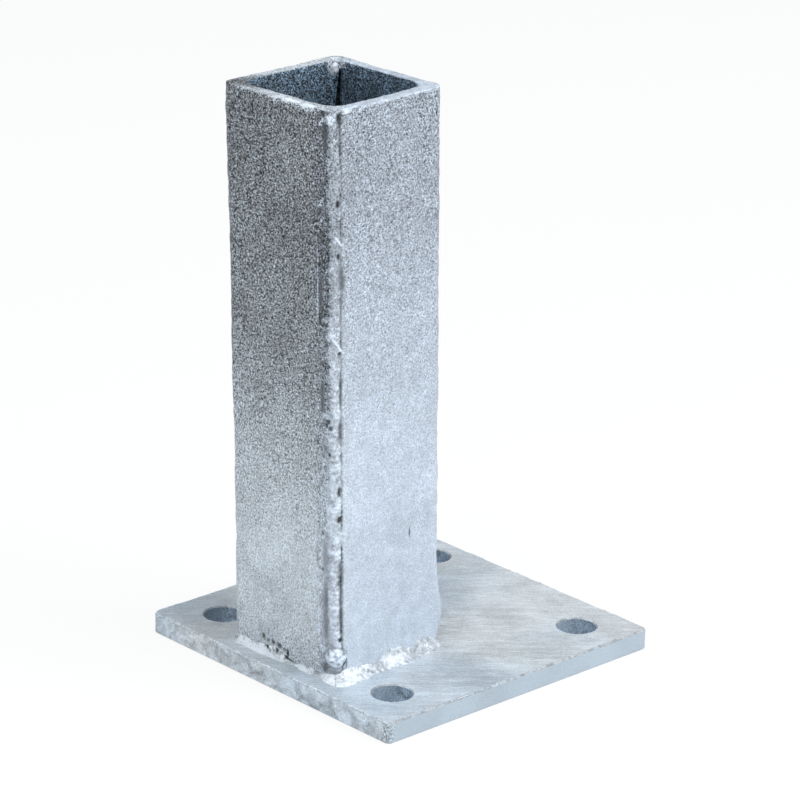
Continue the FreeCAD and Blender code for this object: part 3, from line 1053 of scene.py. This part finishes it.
@dataclass
class FootWeld:
    """Lumpy fillet weld along the foot of one wall.

    reach and rise are its two legs, pale its paleness and toe_shade how dark the
    painted shade over its upper edge, next to the wall, is, each given along the wall from 0 to 1.
    """

    node: str
    wall: Wall
    start_radius: float
    end_radius: float
    reach: Profile
    rise: Profile
    pale: Profile
    toe_shade: Profile
    seed: int
    run_steps: int = 230
    turn_steps: int = 12
    profile_steps: int = 24

    def path(self) -> tuple[np.ndarray, np.ndarray]:
        """Points and outward directions along the wall, from corner middle to corner middle."""
        half = SIZES.half_box
        facing = self.wall.value
        near, far = self.start_radius, self.end_radius
        lean = np.concatenate([np.linspace(-45, 0, self.turn_steps)[:-1],
                               np.zeros(self.run_steps),
                               np.linspace(0, 45, self.turn_steps)[1:]])
        direction = np.stack([np.cos(np.radians(lean)), np.sin(np.radians(lean))], axis=1)
        run = np.linspace(near - half, half - far, self.run_steps)
        points = np.concatenate([
            arc_points((half - near, near - half), near, -45, 0, self.turn_steps)[:-1],
            np.stack([np.full(self.run_steps, half), run], axis=1),
            arc_points((half - far, half - far), far, 0, 45, self.turn_steps)[1:]])
        pad = np.zeros((len(points), 1))
        points = box_to_world(np.concatenate([points, pad + PLATE_TOP], axis=1), facing)
        outward = turned(np.concatenate([direction, pad], axis=1), facing + SIZES.turn_deg)
        return points, outward

    def build(self, material: Any) -> bpy.types.Object:
        """Skins the bead: a bulging quarter profile carried along the wall, roughened by noise."""
        points, outward = self.path()
        count = len(points)
        share = np.linspace(0, 1, count)
        turn = np.linspace(0, math.pi / 2, self.profile_steps)
        climb = np.sin(turn) ** 1.72 * 0.35 + np.sin(turn) * 0.65
        reach = self.reach(share)[:, None] * (1 - np.cos(turn) ** 1.1)[None, :]
        rise = self.rise(share)[:, None] * (1 - climb ** 1.15)[None, :]
        surface = np.zeros((count, self.profile_steps, 3))
        surface[..., :2] = points[:, None, :2] + outward[:, None, :2] * reach[..., None]
        surface[..., 2] = PLATE_TOP + rise
        size = np.clip(self.reach(share) / 4.0, 0.2, 1.25)[:, None]
        edge = np.sin(np.linspace(0, math.pi, self.profile_steps))[None, :]
        lump = FOOT_LUMPS.at(surface, self.seed)
        wave = 2 * math.pi * FOOT_RIPPLES * share[:, None] + 5 * turn[None, :] ** 2
        ripple = FOOT_RIPPLE_HEIGHT * np.sin(wave)
        ragged = FOOT_EDGE.at(surface, self.seed)
        push = ((lump + ripple) * edge + ragged * (1 - 0.6 * edge)) * size
        surface[..., :2] += outward[:, None, :2] * (push * np.sin(turn))[..., None]
        surface[..., 2] += push * np.cos(turn)
        surface[..., 2] = np.maximum(surface[..., 2], PLATE_TOP - FOOT_SINK)
        surface[:, -1, 2] = PLATE_TOP - FOOT_SINK
        buried_top = surface[:, 0].copy()
        buried_top[:, :2] -= outward[:, :2] * 1.0
        buried_foot = buried_top.copy()
        buried_foot[:, 2] = PLATE_TOP - FOOT_SINK
        rings = np.concatenate([surface, buried_foot[:, None], buried_top[:, None]], axis=1)
        texture = FOOT_PATCH.at(surface, self.seed) + FOOT_FLECK.at(surface, self.seed)
        pale = self.pale(share)[:, None] * (0.92 + texture)
        # Painted shade along the weld's upper edge, next to the wall.
        toe_shade_mask = self.toe_shade(share)[:, None] * bump_at(turn[None, :] - 0.36, 0.36)
        toe_shade_mask = np.clip(toe_shade_mask * (1.0 + TOE_SHADE_RAG.at(surface, self.seed)), 0, 1)
        pale = np.clip(mix(pale, TOE_SHADE_TONE, toe_shade_mask), 0.02, 0.95)
        tone = np.concatenate([pale, np.full((count, 2), 0.3)], axis=1)
        piece = ring_mesh(self.node + "_bead", Skin(rings, tone, 0.10))
        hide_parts(self.node)
        piece.data.materials.append(material)
        return piece


# ==== Small zinc pieces ====

def even(level: float) -> Profile:
    """A profile that is the same all along the wall."""
    return lambda share: np.full_like(share, level)


def steps(*pairs: tuple[float, float]) -> Profile:
    """A profile drawn straight between (share, level) pairs."""
    places, levels = zip(*pairs)
    return lambda share: np.interp(share, places, levels)


BEAD_SWELL = Lumps(5.0, 0.60)
BEAD_FLECK = Lumps(2.0, 0.35, 3, 2)
BEAD_FULL = 0.55        # share of the radius where the swell is even
SLIM_DARK = 0.385       # paleness lost where the bead is slimmed right away
DRIP_LUMPS = Lumps(1.9, 0.45, 0, 2)
DRIP_FLECK = Lumps(1.4, 0.4, 1, 2)
RIM_GAP = 0.04          # a drip at the rim stays this far below its top


@dataclass
class Bead:
    """Thin run of zinc along a closed flat path: a tube whose radius swells and fades.

    slim is the share of its radius that it loses on the side towards -Y.
    """

    name: str
    path: np.ndarray
    radius: float
    sink: float
    seed: int
    pale: float
    slim: float = 0.0
    around: int = 8

    def build(self, material: Any) -> bpy.types.Object:
        """Skins the run: radius x (0.55 + 0.6 noise) about a path sunk into the plate."""
        ahead = np.roll(self.path, -1, axis=0) - np.roll(self.path, 1, axis=0)
        ahead = ahead / np.linalg.norm(ahead, axis=1, keepdims=True)
        outward = np.stack([ahead[:, 1], -ahead[:, 0]], axis=1)
        middle = np.concatenate([self.path, np.full((len(self.path), 1),
                                                    PLATE_TOP - self.sink)], axis=1)
        swell = BEAD_FULL + BEAD_SWELL.at(middle, self.seed)
        slim = 1 - self.slim * np.clip(-outward[:, 1], 0, 1)
        radius = self.radius * np.clip(swell, 0.12, 1.0) * slim
        turn = np.linspace(0, 2 * math.pi, self.around + 1)[:-1]
        rings = np.repeat(middle[:, None], self.around, axis=1)
        rings[..., :2] += outward[:, None] * (radius[:, None] * np.cos(turn))[..., None]
        rings[..., 2] += radius[:, None] * np.sin(turn)
        fleck = BEAD_FLECK.at(rings, self.seed) - SLIM_DARK * (1 - slim)[:, None]
        tone = np.clip(self.pale * (1 + fleck), 0.1, 0.95)
        piece = ring_mesh(self.name, Skin(rings, tone, 0.2), closed_path=True)
        piece.data.materials.append(material)
        return piece


def plate_outline(inset: float, corner: float, step: float = 0.55) -> np.ndarray:
    """Points round the plate, inset from its sides: one corner and side, turned four times."""
    half = PLATE_HIGH[0] - inset
    arc = arc_points((half - corner, half - corner), corner, 0, 90, 9)
    side = np.linspace(arc[-1], arc[-1] * [-1, 1], int(2 * half / step))
    quarter = np.concatenate([arc[:-1], side[:-1]])
    quarter = np.concatenate([quarter, np.zeros((len(quarter), 1))], axis=1)
    return np.concatenate([turned(quarter, 90.0 * count)[:, :2] for count in range(4)])


@dataclass
class Drip:
    """A frozen zinc drop in the rear corner of the rim: an ellipsoid with a lumpy radius."""

    name: str
    middle: tuple[float, float, float]
    half: tuple[float, float, float]
    seed: int
    pale: float

    def build(self, material: Any) -> bpy.types.Object:
        """Skins the drop: middle + (half sizes + lumps) x unit sphere, cut off at the rim."""
        rows = np.radians(np.linspace(-88, 88, 22))
        turns = np.linspace(0, 2 * math.pi, 33)[:-1]
        lift, turn = np.meshgrid(rows, turns, indexing="ij")
        ball = np.stack([np.cos(lift) * np.cos(turn), np.cos(lift) * np.sin(turn),
                         np.sin(lift)], axis=2)
        points = np.array(self.middle) + ball * np.array(self.half)
        points += ball * DRIP_LUMPS.at(points, self.seed)[..., None]
        points[..., 2] = np.minimum(points[..., 2], RIM_TOP - RIM_GAP)
        rings = box_to_world(points)
        tone = np.clip(self.pale * (1 + DRIP_FLECK.at(rings, self.seed)), 0.1, 0.95)
        piece = ring_mesh(self.name, Skin(rings, tone, 0.12))
        piece.data.materials.append(material)
        return piece


# ==== Studio ====

@dataclass(frozen=True)
class Studio:
    """Pale sweep, soft lamps and the camera."""

    target: tuple[float, float, float] = (-40.8, -41.05, 138.0)
    direction_deg: float = 227.06
    rise_deg: float = 20.19
    roll_deg: float = -1.11
    distance: float = 1689.3
    lens: float = 176.4

    def camera(self) -> None:
        """Places the camera on its line of sight to the target."""
        data = bpy.data.cameras.new("camera")
        data.sensor_width = 36.0
        data.lens = self.lens
        data.clip_start = 0.01
        data.clip_end = 50.0
        camera = bpy.data.objects.new("camera", data)
        bpy.context.scene.collection.objects.link(camera)
        turn, rise = math.radians(self.direction_deg), math.radians(self.rise_deg)
        back = Vector((math.cos(turn) * math.cos(rise), math.sin(turn) * math.cos(rise),
                       math.sin(rise)))
        level = back.to_track_quat("Z", "Y").to_matrix()
        rolled = level @ Matrix.Rotation(-math.radians(self.roll_deg), 3, "Z")
        place = (Vector(self.target) + back * self.distance) * MM
        camera.matrix_world = Matrix.Translation(place) @ rolled.to_4x4()
        bpy.context.scene.camera = camera

    def floor(self) -> None:
        """A wide white floor that keeps the object's shadow and shows pale to the camera."""
        side = 12.0
        mesh = bpy.data.meshes.new("floor")
        corners = [(-side, -side, 0), (side, -side, 0), (side, side, 0), (-side, side, 0)]
        mesh.from_pydata(corners, [], [(0, 1, 2, 3)])
        floor = bpy.data.objects.new("floor", mesh)
        bpy.context.scene.collection.objects.link(floor)
        shader = Shader("floor_white")
        shader.finish((0.86, 0.87, 0.88, 1), 0.9, 0.0, None)
        seen = shader.node("ShaderNodeLightPath", {}, {}, "Is Camera Ray")
        white = shader.node("ShaderNodeEmission", {}, {"Color": (1, 1, 1, 1), "Strength": 1.0})
        diffuse = Val(shader, shader.principled.outputs[0])
        mixed = shader.node("ShaderNodeMixShader", {}, {0: seen * 0.86, 1: diffuse, 2: white})
        output = shader.tree.nodes["Material Output"]
        shader.tree.links.new(mixed.socket, output.inputs["Surface"])
        mesh.materials.append(shader.material)

    def world(self) -> None:
        """Even grey-white surroundings, plain white where the camera sees them."""
        world = bpy.data.worlds.new("studio")
        bpy.context.scene.world = world
        world.use_nodes = True
        tree = world.node_tree
        ground = tree.nodes["Background"]
        ground.inputs["Color"].default_value = (0.93, 0.97, 1.0, 1)
        ground.inputs["Strength"].default_value = 0.55
        white = tree.nodes.new("ShaderNodeBackground")
        white.inputs["Color"].default_value = (1, 1, 1, 1)
        path = tree.nodes.new("ShaderNodeLightPath")
        mix = tree.nodes.new("ShaderNodeMixShader")
        tree.links.new(path.outputs["Is Camera Ray"], mix.inputs[0])
        tree.links.new(ground.outputs[0], mix.inputs[1])
        tree.links.new(white.outputs[0], mix.inputs[2])
        tree.links.new(mix.outputs[0], tree.nodes["World Output"].inputs["Surface"])

    def lamp(self, name: str, place: tuple[float, float, float], size: float,
             power: float) -> None:
        """One square area lamp aimed at the object."""
        data = bpy.data.lights.new(name, "AREA")
        data.size = size
        data.energy = power
        lamp = bpy.data.objects.new(name, data)
        bpy.context.scene.collection.objects.link(lamp)
        aim = Vector(self.target) * MM - Vector(place)
        lamp.location = place
        lamp.rotation_euler = aim.to_track_quat("-Z", "Y").to_euler()

    def build(self) -> None:
        """Camera, floor, surroundings and lamps."""
        self.camera()
        self.floor()
        self.world()
        self.lamp("key", (0.7, -1.5, 1.1), 1.2, 26.0)
        self.lamp("top", (-0.3, -0.3, 1.9), 1.4, 16.0)
        self.lamp("fill", (-1.6, -0.4, 0.6), 1.2, 4.0)
        bpy.context.scene.view_settings.view_transform = "Standard"


HOLE_RIM_RADIUS = 9.75  # of the zinc ring on the plate round an 18 mm hole


def hole_rims() -> list[np.ndarray]:
    """Round paths just outside each bolt hole, taken from the record's mounts."""
    paths = []
    for mount in frame["record"]["mounts"]:
        if mount["kind"] == "bore":
            middle = np.array(mount["pos_m"][:2]) / MM
            paths.append(arc_points(tuple(middle), HOLE_RIM_RADIUS, 0, 357.5, 144))
    return paths


SPOT_DEPTH = 4.0        # half size of a spot into the wall, so that the skin lies inside it


def foot_pits(*pits: tuple[float, float, float, float, float]) -> tuple[Spot, ...]:
    """Spots in the left wall above its foot weld: y, z, half sizes along both, darkness."""
    wall_x = float(BOX_FOOT[0]) - SIZES.half_box
    return tuple(Spot((wall_x, y, z), (SPOT_DEPTH, wide, tall), dark)
                 for y, z, wide, tall, dark in pits)


LEFT_SPOTS = foot_pits((12.8, 17.9, 1.6, 2.1, 0.85), (9.8, 16.6, 1.5, 1.3, 0.7),
                       (6.6, 16.8, 1.7, 1.7, 0.8), (2.6, 16.4, 2.2, 1.6, 0.85),
                       (-0.6, 15.4, 1.4, 1.2, 0.7), (-2.8, 14.4, 1.3, 2.8, 0.9),
                       (33.0, 18.0, 3.0, 5.0, 0.35))
RIGHT_SPOTS = (Spot((-24.0, -31.5, 69.0), (0.7, SPOT_DEPTH, 3.4), 0.75),
               Spot((-19.5, -31.5, 258.5), (3.4, SPOT_DEPTH, 0.7), 0.8),
               Spot((-26.0, -31.5, 191.4), (0.9, SPOT_DEPTH, 0.9), 0.7))


def main() -> None:
    """Builds and dresses every piece in order."""
    logging.basicConfig(level=logging.INFO, format="%(name)s: %(message)s")
    left_zinc = HotDipZinc("left_angle_zinc", tint(0.905, 1.085), spots=LEFT_SPOTS).make()
    right_zinc = HotDipZinc("right_angle_zinc", tint(0.885, 1.15), spots=RIGHT_SPOTS).make()
    seam_zinc = HotDipZinc("seam_zinc", tint(0.89, 1.13)).make()
    weld_zinc = HotDipZinc("weld_zinc", tint(0.925, 1.08), metallic=0.2).make()
    plate_zinc = PlateZinc().make()
    plate = frame["nodes"]["base_plate"]
    for place in plate.material_slots:
        place.material = plate_zinc
    heel, seam = SIZES.heel_radius, SIZES.thickness
    made = [
        RolledAngle("angle_back_left", -90.0, 11, LEFT_TONE,
                    burrs=((9.0, 4.0, 1.0), (15.5, 4.5, 1.1), (22.0, 3.0, 0.7),
                           (30.0, 3.0, 0.4)), heel_dark=0.75, heel_flare=1.3).build(left_zinc),
        RolledAngle("angle_front_right", 90.0, 23, RIGHT_TONE, heel_run=1.9,
                    burrs=((115.5, 2.0, 0.5), (109.0, 3.0, 0.35))).build(right_zinc),
        SeamWeld("seam_weld_front_left", 0.0, 31, FRONT_MARKS, LEFT_TONE,
                 RIGHT_TONE).build(seam_zinc),
        SeamWeld("seam_weld_back_right", 180.0, 47, BACK_MARKS, RIGHT_TONE, LEFT_TONE,
                 knob=0.5, lipped=True).build(seam_zinc),
        FootWeld("foot_weld_left", Wall.LEFT, heel, seam,
                 steps((0, 0.7), (0.05, 2.2), (0.3, 2.9), (0.5, 2.5), (0.57, 1.3), (0.63, 0.7),
                       (0.67, 1.2), (0.72, 2.2), (0.84, 2.0), (0.88, 0.8), (0.94, 1.2),
                       (0.97, 3.2), (1, 6.6)),
                 steps((0, 1.4), (0.05, 3.4), (0.3, 3.9), (0.36, 5.0), (0.5, 5.0), (0.57, 3.4),
                       (0.63, 1.7), (0.68, 1.9), (0.74, 3.2), (0.86, 2.2), (0.93, 2.2),
                       (1, 4.0)),
                 steps((0, 0.6), (0.05, 1.15), (0.45, 1.15), (0.6, 0.7), (0.75, 1.1),
                       (0.88, 0.45), (0.94, 0.95), (1, 0.92)),
                 steps((0, 0.7), (0.05, 0.1), (0.3, 0.1), (0.36, 0.9), (0.56, 1.0), (0.62, 0.3),
                       (0.85, 0.2), (0.9, 1.0), (0.95, 0.0)), 61).build(weld_zinc),
        FootWeld("foot_weld_front", Wall.FRONT, seam, heel,
                 steps((0, 7.2), (0.06, 8.0), (0.14, 7.8), (0.24, 5.6), (0.4, 6.2), (0.5, 7.2),
                       (0.7, 6.6), (0.9, 6.0), (0.96, 3.5), (1, 1.2)),
                 steps((0, 4.0), (0.1, 4.4), (0.22, 3.2), (0.34, 2.2), (0.42, 3.4), (0.5, 6.2),
                       (0.6, 5.8), (0.68, 3.8), (0.76, 3.6), (0.85, 5.6), (0.94, 4.8),
                       (1, 1.6)),
                 steps((0, 0.90), (0.25, 0.90), (0.34, 0.60), (0.45, 0.72), (0.56, 0.80),
                       (0.68, 0.54), (0.76, 0.54), (0.85, 0.66), (1, 0.60)),
                 steps((0, 0.0), (0.3, 0.2), (0.5, 0.1), (0.65, 0.2), (0.78, 0.2), (1, 0.1)),
                 61).build(weld_zinc),
        FootWeld("foot_weld_right", Wall.RIGHT, heel, seam,
                 steps((0, 1.2), (0.08, 4.0), (0.2, 6.0), (1, 6.0)),
                 steps((0, 1.6), (0.08, 3.4), (0.2, 4.8), (1, 4.8)), even(0.7), even(0.25),
                 61).build(weld_zinc),
        FootWeld("foot_weld_back", Wall.BACK, seam, heel,
                 steps((0, 6.0), (0.8, 6.0), (0.94, 3.0), (1, 0.7)),
                 steps((0, 4.8), (0.8, 4.8), (0.94, 2.8), (1, 1.2)), even(0.7), even(0.25),
                 61).build(weld_zinc),
        Bead("plate_edge_zinc", plate_outline(0.60, 2.4), 0.52, 0.40, 71, 0.82,
             0.72).build(weld_zinc),
        Drip("rim_drip_high", (24.9, 25.9, 266.2), (2.2, 1.8, 3.2), 83, 0.9).build(weld_zinc),
        Drip("rim_drip_low", (28.4, 29.2, 269.0), (3.6, 3.0, 1.5), 85, 0.75).build(weld_zinc),
    ]
    for index, path in enumerate(hole_rims()):
        made.append(Bead(f"hole_rim_{index + 1}", path, 0.22, 0.10, 90 + index,
                         0.62).build(seam_zinc))
    for piece in made:
        LOG.info("made %s with %d faces", piece.name, len(piece.data.polygons))
    Studio().build()


if __name__ == "__main__":
    main()
